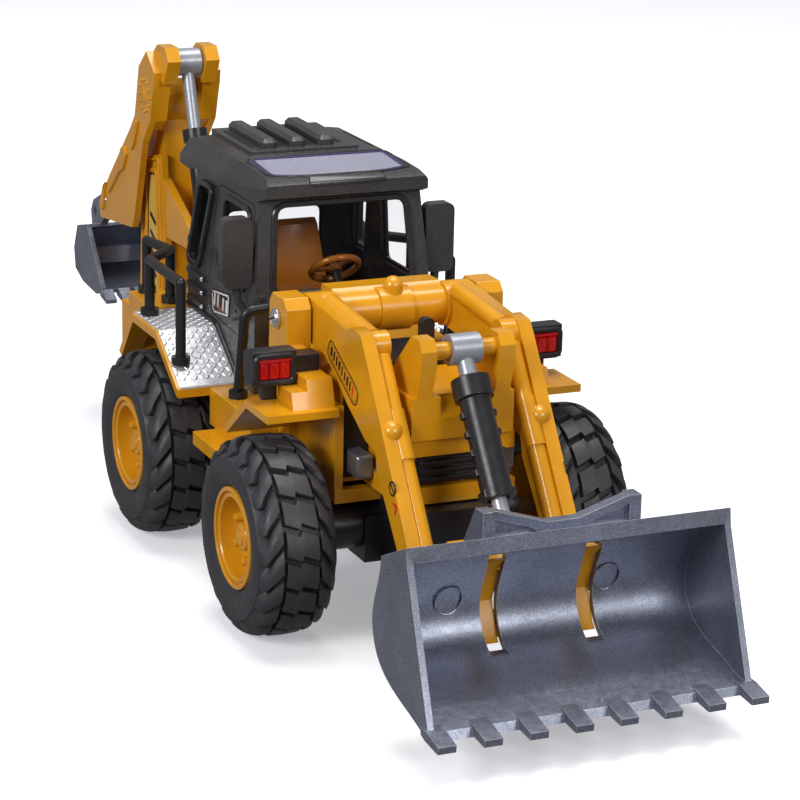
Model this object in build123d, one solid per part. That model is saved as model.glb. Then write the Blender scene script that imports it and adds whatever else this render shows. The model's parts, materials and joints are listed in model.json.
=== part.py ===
from build123d import *
import math
import os

# Toy backhoe loader. Millimetres, +Z up, the loader bucket points to -Y and
# the digging arm to +Y; +X is the machine's left side.
# The drawing datum is the front axle: y = 0 at the axle, z = 0 on the ground,
# x = 0 on the middle plane. Every solid is moved by Y_ORIGIN when written, so
# that the origin is under the middle of the whole toy.

# ---- driving dimensions -------------------------------------------------
WHEELBASE = 85.0
TYRE_R, TYRE_W, TRACK_OUT = 26.0, 21.45, 51.9     # TRACK_OUT: outer tyre face
RIM_R = 13.36
AXLE_R = 2.0
RUN = 0.06                                        # radial running clearance
GAP = 0.5                                         # side clearance at hinges

LIFT = (21.0, 77.0)                               # loader arm hinge, (y, z)
ARM_IN, ARM_OUT = 15.4, 23.4                      # loader arm, across x
ARM_END = (-50.0, 27.0)                           # bucket hinge on the arms
TILT_TOP = (-26.5, 78.5)                          # tilt cylinder, top pivot
TILT_LOW = (-61.8, 30.0)                          # tilt cylinder, low pivot
TILT_BARREL_END = 39.7                            # barrel end from top pivot
BUCKET_HALF = 42.0
BUCKET_WALL = 1.6

BOOM_X = -14.0                                    # side-shift place of the boom
KING_Y = 135.0                                    # swing pin
BOOM_FOOT = (153.0, 55.0)
STICK_HINGE = (148.0, 112.0)
ROD_EYE = (139.5, 123.0)                          # stick cylinder, top pivot
STICK_CYL_LOW = (121.5, 74.0)                     # stick cylinder, low pivot
DIG_HINGE = (187.0, 72.0)                         # digging bucket hinge
DIG_HALF = 12.5

CAB_FRONT, CAB_REAR = 50.5, 104.5
DECK_Z, STEP_Z = 59.0, 47.5                       # rear deck, step deck
RAIL_Y, RAIL_LOW, RAIL_HIGH = 125.0, 34.0, 51.0   # side-shift rails
RAIL_R = 1.6

Y_ORIGIN = -51.05                                 # centres the toy on y = 0


# ---- helpers --------------------------------------------------------------
def plate(points, x0, x1):
    """Solid between x0 and x1 whose side outline is a list of (y, z)."""
    outline = make_face(Polyline(*[Vector(0, y, z) for y, z in points], close=True))
    return Pos(min(x0, x1), 0, 0) * extrude(outline, abs(x1 - x0), dir=(1, 0, 0))


def curved_plate(curve, corners, x0, x1):
    """Like plate, with a smooth curve through one run of (y, z) points and corners after it."""
    bend = Spline(*[Vector(0, y, z) for y, z in curve])
    rest = Polyline(*[Vector(0, y, z) for y, z in [curve[-1]] + corners + [curve[0]]])
    return Pos(min(x0, x1), 0, 0) * extrude(make_face([bend, rest]), abs(x1 - x0), dir=(1, 0, 0))


def bar_x(centre, radius, x0, x1):
    """Round bar along x through centre (y, z)."""
    low, high = min(x0, x1), max(x0, x1)
    bar = Cylinder(radius, high - low, rotation=(0, 90, 0))
    return Pos((low + high) / 2, centre[0], centre[1]) * bar


def bar_between(start, end, radius):
    """Round bar from one point to another."""
    run = Vector(*end) - Vector(*start)
    plane = Plane(origin=start, z_dir=run)
    return plane * Cylinder(radius, run.length, align=(Align.CENTER, Align.CENTER, Align.MIN))


def block(x, y, z):
    """Box from three (low, high) pairs."""
    size = [pair[1] - pair[0] for pair in (x, y, z)]
    middle = [(pair[0] + pair[1]) / 2 for pair in (x, y, z)]
    return Pos(*middle) * Box(*size)


def both_sides(solid):
    """The solid and its mirror image across the middle plane."""
    return solid + mirror(solid, Plane.YZ)


def about_boom(solid):
    """Moves a solid drawn about x = 0 to the boom's plane."""
    return Pos(BOOM_X, 0, 0) * solid


def rail(points, radius, bend):
    """Round rail through points, with every corner bent to one radius."""
    path = FilletPolyline(*points, radius=bend)
    first = Vector(*points[1]) - Vector(*points[0])
    ring = Plane(origin=points[0], z_dir=first) * Circle(radius)
    return sweep(ring, path=path)


def soften(solid, radius, axis):
    """Rounds the edges that run along one axis."""
    return fillet(solid.edges().filter_by(axis), radius)


# ---- wheels ---------------------------------------------------------------
def tyre(side):
    """Plain outer shape of one tyre: crowned tread and rounded shoulders."""
    face, back = TRACK_OUT, TRACK_OUT - TYRE_W
    profile = make_face(
        Polyline((RIM_R + 0.02, back), (TYRE_R - 6, back), (TYRE_R - 1.6, back + 2.2),
                 (TYRE_R - 0.3, back + 6.5), (TYRE_R, back + TYRE_W / 2), (TYRE_R - 0.3, face - 6.5),
                 (TYRE_R - 1.6, face - 2.2), (TYRE_R - 6, face), (RIM_R + 0.02, face), close=True))
    ring = revolve(Plane.XZ * profile, Axis.Z)
    return Rotation(0, 90 * side, 0) * ring


def rim(side):
    """Dished rim with a double lip, hub, cap and six wheel nuts."""
    lip, back, floor = TRACK_OUT - 1.0, TRACK_OUT - TYRE_W + 1.5, TRACK_OUT - 11.5
    outline = Polyline((AXLE_R, back), (RIM_R, back), (RIM_R, lip), (11.6, lip), (11.6, lip - 0.9),
                       (10.4, lip - 0.9), (9.6, floor), (3.0, floor), (2.6, floor + 4.2),
                       (0, floor + 4.6), (0, floor + 3.0), (AXLE_R, floor + 3.0), close=True)
    body = revolve(Plane.XZ * make_face(outline), Axis.Z)
    nuts = PolarLocations(4.9, 6) * Cylinder(1.0, 1.8, align=(Align.CENTER, Align.CENTER, Align.MIN))
    body += [Pos(0, 0, floor) * nut for nut in nuts]
    return Rotation(0, 90 * side, 0) * body


def wheel_set(y):
    """Tyre, rim and axle solids of one axle, as {suffix: solid}."""
    place = Pos(0, y, TYRE_R)
    tip = TRACK_OUT - 11.5 + 3.0
    return {
        "left_tyre": place * tyre(1), "right_tyre": place * tyre(-1),
        "left_rim": place * rim(1), "right_rim": place * rim(-1),
        "axle": place * Cylinder(AXLE_R, 2 * tip, rotation=(0, 90, 0)),
    }


# ---- chassis and body -------------------------------------------------------
def chassis_frame():
    """Black lower frame with axle housings, bored for both axles."""
    frame = block((-12, 12), (-31, -5), (18, 38)) + block((-12, 12), (-5, 4), (18, 33.3))
    frame += block((-22, 22), (4, 112), (18, 37))
    frame -= block((-19, 19), (14, 72), (17, 34))
    frame += block((-16, 16), (72, 108), (16, 30)) + block((-17, 17), (-7, 7), (17.5, 30))
    for y in (0, WHEELBASE):
        frame += bar_x((y, TYRE_R), 6.2, -27, 27)
        frame -= bar_x((y, TYRE_R), AXLE_R + RUN, -28, 28)
    return frame


def rear_deck():
    """Yellow rear body: deck over the frame and the two rear fenders."""
    top = [(113, 45), (101.5, DECK_Z), (80, DECK_Z), (62.2, STEP_Z), (61, STEP_Z)]
    under = [(61, 45.2), (62.5, 45.2), (80.8, 56.8), (100.3, 56.8), (110.6, 44)]
    fender = plate(top + under, 26, 44)
    core_top = [(119, 37), (119, DECK_Z), (80, DECK_Z), (62.2, STEP_Z), (61, STEP_Z), (61, 37)]
    core = plate(core_top, -28, 28)
    core -= plate([(116, 36), (116, 56.5), (80.8, 56.5), (63, 45), (63, 36)], -25.5, 25.5)
    fender -= block((28.05, 38.05), (101.5, 114), (40, 62))
    return core + both_sides(fender)


def step_deck():
    """Yellow floor between the wheels with its side walls and foot steps."""
    deck = block((-35, 35), (29, 61), (37, STEP_Z)) + block((-27, 27), (27.2, 61), (37, STEP_Z))
    deck -= block((-32.5, 32.5), (31, 59), (36, 45.3))
    step = block((27, 41.5), (29.5, 56.5), (33.2, 37.0))
    step -= block((30, 38.5), (32.5, 53.5), (32, 35.2))
    return deck + both_sides(step)


def front_fenders():
    """Yellow front body: wheel arches, side walls and the lamp blocks."""
    top = [(-6.5, 57.4), (-6.5, 59.4), (9.5, 59.4), (24.5, 48.2), (23.2, 46.6), (8.8, 57.4)]
    fender = plate(top, 24.5, 44)
    wall = block((22.2, 24.6), (-4, 27), (33.5, 59.4)) + block((22.2, 26.8), (22, 27), (37, 59.4))
    lamp_block = plate([(-4, 59.4), (-1.5, 66.5), (11.6, 66.5), (11.6, 58)], 24.6, 31.6)
    lamp_block += plate([(-4, 59.4), (-2.5, 63.7), (7, 63.7), (7, 58)], 31.6, 36)
    sill = block((0, 24.6), (-4.5, -1.5), (33.5, 37))
    return both_sides(fender + wall + lamp_block + sill)


def nose_housing():
    """Yellow hood and nose with the two towers and the tilt cylinder pin."""
    hood = block((-22, 22), (-1.4, 50.3), (38.2, 66))
    hood = fillet(hood.edges().filter_by(Axis.Y).group_by(Axis.Z)[-1], 3)
    hood -= block((-30, 30), (27, 52), (37, STEP_Z))
    hood -= block((-19, 19), (1.5, 48), (37, 62.5))
    hood -= both_sides(plate([(-2, 67), (-2, 63.9), (3.4, 66.4), (3.4, 67)], 15, 24))
    box = block((-14, 14), (-28, -1.4), (56, 67)) + block((-15, 15), (-27, -1.4), (51.5, 56))
    box += block((-14, 14), (-23.5, -1.4), (43, 51.5)) + block((-16, 16), (-26, -1.4), (38.5, 43))
    tower = [(-28, 67), (-30.4, 75.5), (-30.6, 79.5), (-28.5, 82.3), (-24, 82.3), (-12, 70.5), (-11, 67)]
    towers = both_sides(plate(tower, 8.6, 12.8))
    box -= plate([(-25.4, 67.2), (-27.9, 61.6), (-32, 61.6), (-32, 67.2)], -6.2, 6.2)
    return hood + box + towers + bar_x(TILT_TOP, 2.2, -9, 9)


def radiator_grille():
    """Black slatted grille under the nose box."""
    grille = block((-12.5, 12.5), (-25.2, -23.5), (43.6, 51))
    slats = [block((-11, 11), (-26.2, -25.2), (44.6 + 2.1 * i, 45.6 + 2.1 * i)) for i in range(3)]
    return grille + slats


def hood_cover():
    """Black service cover on the hood with its upright lever."""
    cover = soften(block((-10, 8), (2, 22), (66, 68.2)), 2.5, Axis.Z)
    cover += Pos(4.5, 3.2, 66) * Cylinder(4.2, 2.6, align=(Align.CENTER, Align.CENTER, Align.MIN))
    lever = block((1.2, 5.0), (1.2, 3.6), (68.2, 79))
    lever = fillet(lever.edges().filter_by(Axis.Y).group_by(Axis.Z)[-1], 1.6)
    return cover + lever


def loader_uprights():
    """Yellow brackets beside the hood that carry the loader arm hinge."""
    outline = [(12, 59.4), (14.5, 67), (14.6, 80.5), (17, 83), (25, 83), (27, 80.5), (27.4, 59.4)]
    ear = plate(outline, ARM_OUT + GAP, 30.8)
    ear += plate([(12.2, 66.5), (12.2, 71), (15, 71), (15, 66.5)], 26, 32.4)
    ear -= bar_x(LIFT, AXLE_R, 20, 32)
    return both_sides(ear)


def loader_hinge_pins():
    """Steel hinge pins with round heads at the arms' rear ends."""
    pin = bar_x(LIFT, AXLE_R, ARM_IN + 0.4, 30.8) + bar_x(LIFT, 2.7, 30.8, 31.8)
    return both_sides(pin)


# ---- cab ----------------------------------------------------------------
def cab_blank(inset):
    """Cab volume, smaller by inset on the front, back and sides."""
    front, rear = CAB_FRONT + inset, CAB_REAR - inset
    outline = [(front, STEP_Z), (front, 73), (front + 3.4, 100), (rear - 1.2, 100), (rear, 70),
               (rear, DECK_Z), (80, DECK_Z), (62.2, STEP_Z)]
    half_low, half_top = 26 - inset, 23.4 - inset
    ends = [(-half_low, 40), (-half_low, 70), (-half_top, 101), (half_top, 101), (half_low, 70),
            (half_low, 40)]
    section = make_face(Polyline(*[Vector(x, 0, z) for x, z in ends], close=True))
    tube = Pos(0, 120, 0) * extrude(section, 90, dir=(0, -1, 0))
    return plate(outline, -30, 30) & tube


DOOR_PANE = [(59.5, 74), (59.5, 96.5), (79.2, 96.5), (81, 74)]
QUARTER_PANE = [(94.2, 73.6), (87.9, 96.4), (97.8, 96.4), (102.2, 73.6)]
SCREEN = [(-20.6, 74.8), (20.6, 74.8), (19.0, 98.8), (-19.0, 98.8)]
REAR_SCREEN = [(-14.8, 72), (14.8, 72), (14.8, 86.4), (-14.8, 86.4)]
LOUVRE_Z = (61.5, 65.5, 69.5)


def opening(corners, y0, y1):
    """Prism between y0 and y1 whose front outline is a list of (x, z)."""
    outline = make_face(Polyline(*[Vector(x, y0, z) for x, z in corners], close=True))
    return extrude(outline, y1 - y0, dir=(0, 1, 0))


def cab_shell():
    """Charcoal cab with a floor, open windows and louvres behind the doors."""
    shell = cab_blank(0) - (cab_blank(1.6) & block((-30, 30), (40, 110), (62, 110)))
    shell -= block((-22, 22), (CAB_FRONT + 2, 78), (STEP_Z - 1, 58))
    for pane in (DOOR_PANE, QUARTER_PANE):
        shell -= plate(pane, -30, 30)
    shell -= opening(SCREEN, 45, 60) + opening(REAR_SCREEN, 98, 110)
    for low in LOUVRE_Z:
        shell += both_sides(block((25.6, 26.8), (89.5, 103.5), (low, low + 1.5)))
    return shell


def pane_skin(depth):
    """Thin skin inside the cab walls, for cutting the panes from."""
    return cab_blank(0.4) - cab_blank(0.4 + depth)


def windshield():
    """Clear front pane."""
    return pane_skin(0.8) & opening(SCREEN, 45, 60)


def rear_window():
    """Clear rear pane."""
    return pane_skin(0.8) & opening(REAR_SCREEN, 98, 110)


def side_windows():
    """Clear door and quarter panes on both sides."""
    skin = pane_skin(0.8)
    sides = ((20, 30), (-30, -20))
    return [skin & plate(pane, *side) for pane in (DOOR_PANE, QUARTER_PANE) for side in sides]


def roof_blank():
    """Roof volume: crowned, wider and taller towards the rear."""
    outline = [(49.2, 101.6), (49.2, 105.2), (52, 106.5), (74, 108.2), (104, 108.6), (112.6, 106),
               (113, 99.2), (105, 98.8), (100, 100), (54, 100)]
    plan = [(-23.8, 49), (23.8, 49), (25.4, 75), (25.4, 113.2), (-25.4, 113.2), (-25.4, 75)]
    ends = [(-25.6, 98), (-25.6, 101.5), (-21.8, 107.2), (-16, 108.8), (16, 108.8), (21.8, 107.2),
            (25.6, 101.5), (25.6, 98)]
    top_view = extrude(make_face(Polyline(*[Vector(x, y, 90) for x, y in plan], close=True)), 30)
    section = make_face(Polyline(*[Vector(x, 0, z) for x, z in ends], close=True))
    return plate(outline, -26, 26) & top_view & (Pos(0, 120, 0) * extrude(section, 80, dir=(0, -1, 0)))


SKYLIGHT = [(-19.6, 71), (-19.6, 55.6), (-14, 53.8), (-7, 52.9), (7, 52.9), (14, 53.8), (19.6, 55.6),
            (19.6, 71)]


def skylight_column():
    """Upright prism on the skylight's outline."""
    return extrude(make_face(Polyline(*[Vector(x, y, 98) for x, y in SKYLIGHT], close=True)), 14)


def cab_roof():
    """Charcoal roof with a raised pad and three long scoops."""
    roof = roof_blank() - cab_blank(0)
    roof -= block((-21, 21), (57, 100), (98, 104.5))
    roof -= skylight_column() - Pos(0, 0, -1.2) * roof_blank()
    pad = plate([(75, 107.6), (75, 109.2), (107, 109.6), (107, 107.6)], -18, 14)
    roof += pad
    scoop = [(76.5, 108.5), (80, 110.6), (99, 111.6), (104, 110.6), (105.5, 108.5)]
    for x in (-11.5, -3.0, 5.5):
        roof += plate(scoop, x - 2.2, x + 2.2)
    return roof


def skylight():
    """Pale panel set in the front of the roof."""
    panel = skylight_column() & (Pos(0, 0, -0.2) * roof_blank())
    return panel - Pos(0, 0, -1.2) * roof_blank()


def seat():
    """Brown moulded seat with a high back on a plinth."""
    cushion = soften(block((-9, 9), (70, 88), (62, 68)), 2, Axis.Y)
    back = plate([(86, 66), (84.5, 68), (87.6, 84.6), (89, 86), (91.4, 85.6), (91, 66)], -9, 9)
    front = opening([(-8.8, 60), (8.8, 60), (8.6, 70), (6.6, 87), (-6.6, 87), (-8.6, 70)], 80, 95)
    return cushion + (back & front)


WHEEL_HUB = (1.2, 59.6, 77.7)


def dashboard():
    """Black dash with the steering column."""
    dash = plate([(52.6, 62), (53, 73.5), (58, 73.5), (60, 62)], -20, 20)
    return dash + bar_between((1.2, 54.7, 71.9), WHEEL_HUB, 1.2)


def steering_wheel():
    """Amber steering wheel with a hub and three spokes."""
    wheel = Torus(6.6, 0.95) + Cylinder(1.8, 1.8)
    for angle in (90, 210, 330):
        wheel += Rotation(0, 0, angle) * Pos(3.7, 0, 0) * Box(6.2, 1.4, 0.9)
    tilt = Plane(origin=Vector(*WHEEL_HUB) + Vector(0, 0.58, 0.69), z_dir=(0, 0.643, 0.766))
    return tilt * wheel


def mirrors():
    """Black wing mirrors on curved arms."""
    head = fillet(block((25.4, 34), (53.5, 57.5), (76.6, 96)).edges().filter_by(Axis.Y), 2.2)
    arm = rail([(29.5, 56, 77), (29.0, 55.5, 72.5), (25.6, 55.5, 67.5)], 1.2, 2.5)
    return both_sides(head + arm - cab_blank(0))


def front_handrails():
    """Black grab rails from the step deck to the front pillars."""
    path = [(31, 49.4, STEP_Z + 1.6), (31, 44.6, 72.8), (22.8, 44.9, 73.2), (22.8, 51.2, 73.2)]
    collar = Pos(31, 49.4, STEP_Z) * Cylinder(2.6, 2, align=(Align.CENTER, Align.CENTER, Align.MIN))
    return both_sides(rail(path, 1.45, 2.5) + collar) - cab_blank(0)


REAR_POSTS = [(33.4, 119, DECK_Z + 1), (30.8, 106, DECK_Z + 1), (40.2, 96.5, DECK_Z + 0.5),
              (40.4, 69.4, 52.6)]
REAR_RAIL_Z = 75.4


def rear_handrails():
    """Black zigzag rails on four posts around the back of the cab."""
    top = [(x, y, REAR_RAIL_Z) for x, y, _ in REAR_POSTS]
    rails = rail(top, 1.45, 2.2)
    for x, y, base in REAR_POSTS:
        rails += bar_between((x, y, base), (x, y, REAR_RAIL_Z), 1.45)
        rails += Pos(x, y, REAR_RAIL_Z) * Sphere(1.45)
        rails += Pos(x, y, base) * Cylinder(2.6, 2, align=(Align.CENTER, Align.CENTER, Align.MIN))
    below = [(50, 40), (50, 48), (62.2, STEP_Z + 0.5), (80, DECK_Z + 0.5), (101.5, DECK_Z + 0.5),
             (101.5, 40)]
    return both_sides(rails - plate(below, 20, 50))


def deck_plates():
    """Bright chequer plates on both sides of the cab."""
    top = [(61, STEP_Z), (62.2, STEP_Z), (80, DECK_Z), (101.5, DECK_Z)]
    skin = [(y, z + 0.5) for y, z in reversed(top)]
    return both_sides(plate(top + skin, 26.05, 43.2))


LENS = ((33.2, 42.4), (4.4, 5.8), (65.2, 71.3))


def work_lamps():
    """Black lamp boxes with rounded backs and box stalks."""
    lamp = block((31.8, 43.7), (4.8, 12), (64, 73))
    lamp = fillet(lamp.edges().filter_by(Axis.X).group_by(Axis.Y)[-1], 3.0)
    lamp -= block(LENS[0], (4, 5.8), LENS[2])
    stalk = block((36, 40), (7.5, 10.5), (59.4, 64)) + block((30.8, 31.8), (6, 10), (67, 71))
    return both_sides(lamp + stalk + block((25, 31), (6, 10.8), (66.5, 71)))


def lamp_lenses():
    """Red lenses of the two lamps."""
    return both_sides(block(*LENS))


def headlamps():
    """Grey head-lamp blocks beside the grille."""
    return both_sides(soften(block((14.05, 17.5), (-22, -14), (44, 50.5)), 1.2, Axis.X))


# ---- loader ------------------------------------------------------------------
ARM_UNDERSIDE = [(-47.2, 24.6), (-41.6, 34), (-29, 49.2), (-27.4, 54.4), (-21, 55.4), (-13.6, 59.2),
                 (-8.6, 61.6), (-1.4, 66.5), (7, 70.4), (18, 71)]
ARM_OUTLINE = [(21, 83), (-7.5, 80.5), (-11, 82), (-16.5, 81.5), (-19.6, 77.5), (-35.3, 54.6),
               (-48.5, 35.5), (-53.4, 28), (-53, 24.8), (-50, 23.4)] + ARM_UNDERSIDE
ARM_WEB = [(21, 80), (-8, 77.6), (-14, 77), (-17, 73.4), (-31.5, 51), (-45.5, 31.5),
           (-50, 26)] + ARM_UNDERSIDE
ARM_PIPE = [(16, 81.4), (-12, 79.2), (-17.4, 75.8), (-33.6, 53.2), (-47.4, 33.2)]


def loader_arm(side):
    """One yellow loader arm: outer plate, inner web, pipes, bosses and bores."""
    arm = plate(ARM_OUTLINE, 19.8, ARM_OUT) + plate(ARM_WEB, ARM_IN + 1.0, 19.8)
    arm += bar_x(LIFT, 6.0, ARM_IN, ARM_OUT) + bar_x(ARM_END, 3.6, ARM_IN, ARM_OUT)
    pipe_x = ARM_IN + 2.6
    ends = [(pipe_x, y, z) for y, z in ARM_PIPE]
    arm += bar_between(ends[0], ends[1], 2.3) + bar_between(ends[2], ends[4], 2.3)
    arm += bar_x((-14.2, 77.8), 3.7, ARM_IN, ARM_OUT) + bar_between(ends[3], (pipe_x, -26, 63.8), 2.6)
    arm += Pos(pipe_x + 2.2, -30.0, 60.0) * Sphere(2.8)
    arm -= bar_x(LIFT, AXLE_R + RUN, 10, 30)
    arm -= bar_x(ARM_END, 1.8, 10, 30)
    return arm if side > 0 else mirror(arm, Plane.YZ)


def torque_tube():
    """Yellow cross tube between the arms with a saddle, flange and knob."""
    tube = bar_x(LIFT, 5.1, -ARM_IN, ARM_IN) + bar_x(LIFT, 5.9, -3.5, 5.5)
    flange = plate([(19, 81), (22, 83.2), (29, 83), (29.4, 81.2), (24, 80)], -ARM_IN, ARM_IN)
    knob = Pos(1, 19.6, 81.8) * Cylinder(2.7, 3.0) + Pos(1, 19.6, 83.3) * Sphere(2.7)
    return tube + flange + knob


def arm_end_pins():
    """Steel pins through the arms' front ends into the coupler."""
    return both_sides(bar_x(ARM_END, 1.8, 11, ARM_OUT + 0.6))


# outer back and floor of the loader bucket, from the top lip to the cutting edge
BUCKET_BACK = [(-75.1, 45.6), (-73.4, 38.5), (-70.6, 29), (-73.6, 20.8), (-80.6, 16.4), (-96, 12.6)]
BUCKET_FLOOR = [(-76.8, 44.0), (-75.0, 38.2), (-72.2, 29), (-75.0, 21.9), (-81.4, 18.1), (-96.4, 14.3)]
BUCKET_TOP, BUCKET_LIP = (-89.3, 52.2), (-104.6, 10.6)
TOOTH_PITCH = 11.54
SLOT = (10.6, 15.0)


def front_bucket():
    """Grey bucket: curved shell, side plates, teeth, top webs and slots."""
    mouth = [BUCKET_LIP, (-102.9, 14.6), (-89.9, 48), BUCKET_TOP]
    solid = curved_plate(BUCKET_BACK, mouth, -BUCKET_HALF, BUCKET_HALF)
    opening = [(-104.9, 12.4), (-112, 11), (-92, 48.4), (-88.6, 48.4)]
    solid -= curved_plate(BUCKET_FLOOR, opening, -BUCKET_HALF + BUCKET_WALL, BUCKET_HALF - BUCKET_WALL)
    tooth_side = [(-103.6, 10.9), (-110.6, 10.4), (-110.8, 12.2), (-104.4, 13.4), (-101, 13.4),
                  (-101, 11.6)]
    tooth = plate(tooth_side, -2.3, 2.3)
    for i in range(8):
        solid += Pos((i - 3.5) * TOOTH_PITCH, 0, 0) * tooth
    web = [Vector(x, -84.4, z) for x, z in ((-20.6, 48), (-20.6, 56), (-17.5, 56.6), (-4, 52.4), (4, 52.4),
                                           (17.5, 56.6), (20.6, 56), (20.6, 48))]
    solid += extrude(make_face(Polyline(*web, close=True)), 3.0, dir=(0, 1, 0))
    pocket = [Vector(x, -84.5, z) for x, z in ((-17.8, 49.8), (-17.8, 54.6), (-8.4, 51.6), (-5.6, 49.8))]
    solid -= both_sides(extrude(make_face(Polyline(*pocket, close=True)), 1.9, dir=(0, 1, 0)))
    lug = plate([(-84.4, 49), (-84.4, 56.4), (-80, 56.4), (-73.4, 45.4), (-75.1, 45.6)], 17.6, 20.6)
    solid += both_sides(lug)
    solid -= both_sides(block(SLOT, (-88.5, -68), (18.5, 42.8)))
    return solid


def bucket_coupler():
    """Yellow coupler behind the bucket, with hooks in the bucket's slots."""
    inner, outer = SLOT[0] + 0.2, SLOT[1] - 0.1
    hook = [(-76.5, 41.5), (-73, 38.4), (-70, 29), (-73, 21.2), (-74.5, 19.6)]
    outline = [(-50, 30.6), (-54, 38.2)] + hook + [(-70, 18.6), (-54, 23.8), (-50, 23.4)]
    side = plate(outline, inner, outer) + bar_x(ARM_END, 3.6, inner, outer)
    side += block((5.5, outer), (-69.5, -52.5), (36.6, 38.2))
    side -= bar_x(ARM_END, 1.8 + RUN, 5, 20)
    lug = plate([(-58.4, 29), (-60, 33), (-63.6, 33.4), (-69, 25), (-69, 19), (-65.6, 19)], 3.3, 5.5)
    cross = block((-11, 11), (-69.4, -65.6), (18.8, 24.6))
    return both_sides(side + lug) + cross


def along_tilt(distance):
    """Point (0, y, z) on the tilt cylinder's line, from its top pivot."""
    run = Vector(0, TILT_LOW[0] - TILT_TOP[0], TILT_LOW[1] - TILT_TOP[1]).normalized()
    return tuple(Vector(0, *TILT_TOP) + run * distance)


def tilt_bush():
    """Thin sleeve on the nose pin, inside the tilt cylinder's eye."""
    return bar_x(TILT_TOP, 2.7, -3.8, 3.8) - bar_x(TILT_TOP, 2.2 + RUN, -5, 5)


def tilt_cylinder_eye():
    """Grey eye on the bush, with the neck that runs to the barrel."""
    eye = bar_x(TILT_TOP, 4.0, -4, 4) + bar_between(along_tilt(3), along_tilt(8), 2.3)
    return eye - bar_x(TILT_TOP, 2.7 + RUN, -5, 5)


def tilt_cylinder_barrel():
    """Black collar and barrel, open at the low end."""
    tube = bar_between(along_tilt(8), along_tilt(13.6), 5.0)
    tube += bar_between(along_tilt(13.6), along_tilt(TILT_BARREL_END), 4.0)
    return tube - bar_between(along_tilt(12.5), along_tilt(TILT_BARREL_END + 1), 3.0)


def tilt_sleeve():
    """Inner sleeve that slides in the barrel."""
    sleeve = bar_between(along_tilt(32), along_tilt(TILT_BARREL_END - 2), 3.0 - RUN)
    return sleeve - bar_between(along_tilt(31), along_tilt(TILT_BARREL_END), 2.0 + RUN)


def tilt_cylinder_rod():
    """Rod that slides in the sleeve, with a tongue between the coupler's lugs."""
    rod = bar_between(along_tilt(32), along_tilt(58), 2.0)
    return rod + bar_x(TILT_LOW, 2.9, -2.8, 2.8)


# ---- backhoe ---------------------------------------------------------------
def rear_frame():
    """Yellow rear frame: leg housings and end brackets for the rails."""
    housing = block((28.05, 38), (109, 122), (41, DECK_Z + 1))
    housing += block((28.05, 38), (119.05, 128.5), (29, 56))
    housing += block((28.05, 38), (101.55, 110), (56.5, DECK_Z + 1))
    housing -= block((31.4, 36.6), (112.4, 118.6), (28, 58))
    for z in (RAIL_LOW, RAIL_HIGH):
        housing -= bar_x((RAIL_Y, z), RAIL_R, 28, 36)
    back = block((-28.05, 28.05), (119.05, 121.6), (38, 58))
    return both_sides(housing) + back


def slide_rails():
    """Two steel rods that the side-shift carriage runs on."""
    return [bar_x((RAIL_Y, z), RAIL_R, -36, 36) for z in (RAIL_LOW, RAIL_HIGH)]


def stabiliser_leg(side):
    """Black telescopic leg with a foot pad."""
    leg = block((31.7, 36.3), (112.7, 118.3), (11, 50)) + block((29.5, 38.5), (112.2, 121.5), (8.6, 11))
    return leg if side > 0 else mirror(leg, Plane.YZ)


def shift_carriage():
    """Yellow carriage on the rails with two lugs for the swing pin."""
    body = block((-10, 10), (122.2, 128.6), (29.5, 56.5))
    for z in (RAIL_LOW, RAIL_HIGH):
        body -= bar_x((RAIL_Y, z), RAIL_R + RUN, -12, 12)
    for low, high in ((30, 34.6), (50.4, 55)):
        lug = block((-5, 5), (128, KING_Y), (low, high))
        lug += Pos(0, KING_Y, (low + high) / 2) * Cylinder(5, high - low)
        body += lug
    body -= Pos(0, KING_Y, 42) * Cylinder(AXLE_R, 60)
    return about_boom(body)


def kingpin():
    """Steel swing pin."""
    return about_boom(Pos(0, KING_Y, 42.7) * (Cylinder(AXLE_R, 26) + Pos(0, 0, 13) * Cylinder(3, 1)))


def swing_frame():
    """Yellow swing casting from the swing pin to the boom's foot."""
    body = Pos(0, KING_Y, 42.5) * Cylinder(5, 14.8)
    body += plate([(KING_Y, 36), (KING_Y, 49.6), (146.5, 50.2), (147.5, 58), (151, 61), (155, 61),
                   (158.6, 58), (159, 50), (152, 42), (143, 36)], -3.4, 3.4)
    body -= Pos(0, KING_Y, 42) * Cylinder(AXLE_R + RUN, 60)
    body -= bar_x(BOOM_FOOT, AXLE_R, -10, 10)
    return about_boom(body)


def boom_pin():
    """Steel pin at the boom's foot."""
    return about_boom(bar_x(BOOM_FOOT, AXLE_R, -6.3, 6.3))


BOOM_SIDE = [(141.2, 48), (140.6, 62), (145.2, 94.6), (162.6, 90.6), (165.4, 48)]
BOOM_NECK = [(140.4, 52.4), (149, 104), (144.6, 108), (143, 113), (146, 116.8), (151, 116.2), (153.6, 112),
             (153.4, 104), (155.5, 97), (160, 92), (156, 66), (143, 66), (142.6, 52.4)]


def boom():
    """Yellow boom: a channel foot, a narrow column and the cylinder bracket."""
    cheeks = both_sides(plate(BOOM_SIDE, 4.0, 6.0))
    neck = plate(BOOM_NECK, -4.0, 4.0)
    lug = [(146, 88), (122, 77.6), (118.6, 75.6), (118.4, 72.6), (121, 70.8), (145, 70)]
    bracket = both_sides(plate(lug, 3.2, 5.6))
    solid = neck + cheeks + bracket + block((-5.6, 5.6), (132, 145), (72, 74.6))
    solid -= bar_x(STICK_HINGE, AXLE_R + RUN, -12, 12)
    solid -= bar_x(BOOM_FOOT, AXLE_R + RUN, -12, 12)
    solid -= bar_x(STICK_CYL_LOW, 1.5 + RUN, -8, 8)
    return about_boom(solid)


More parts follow.
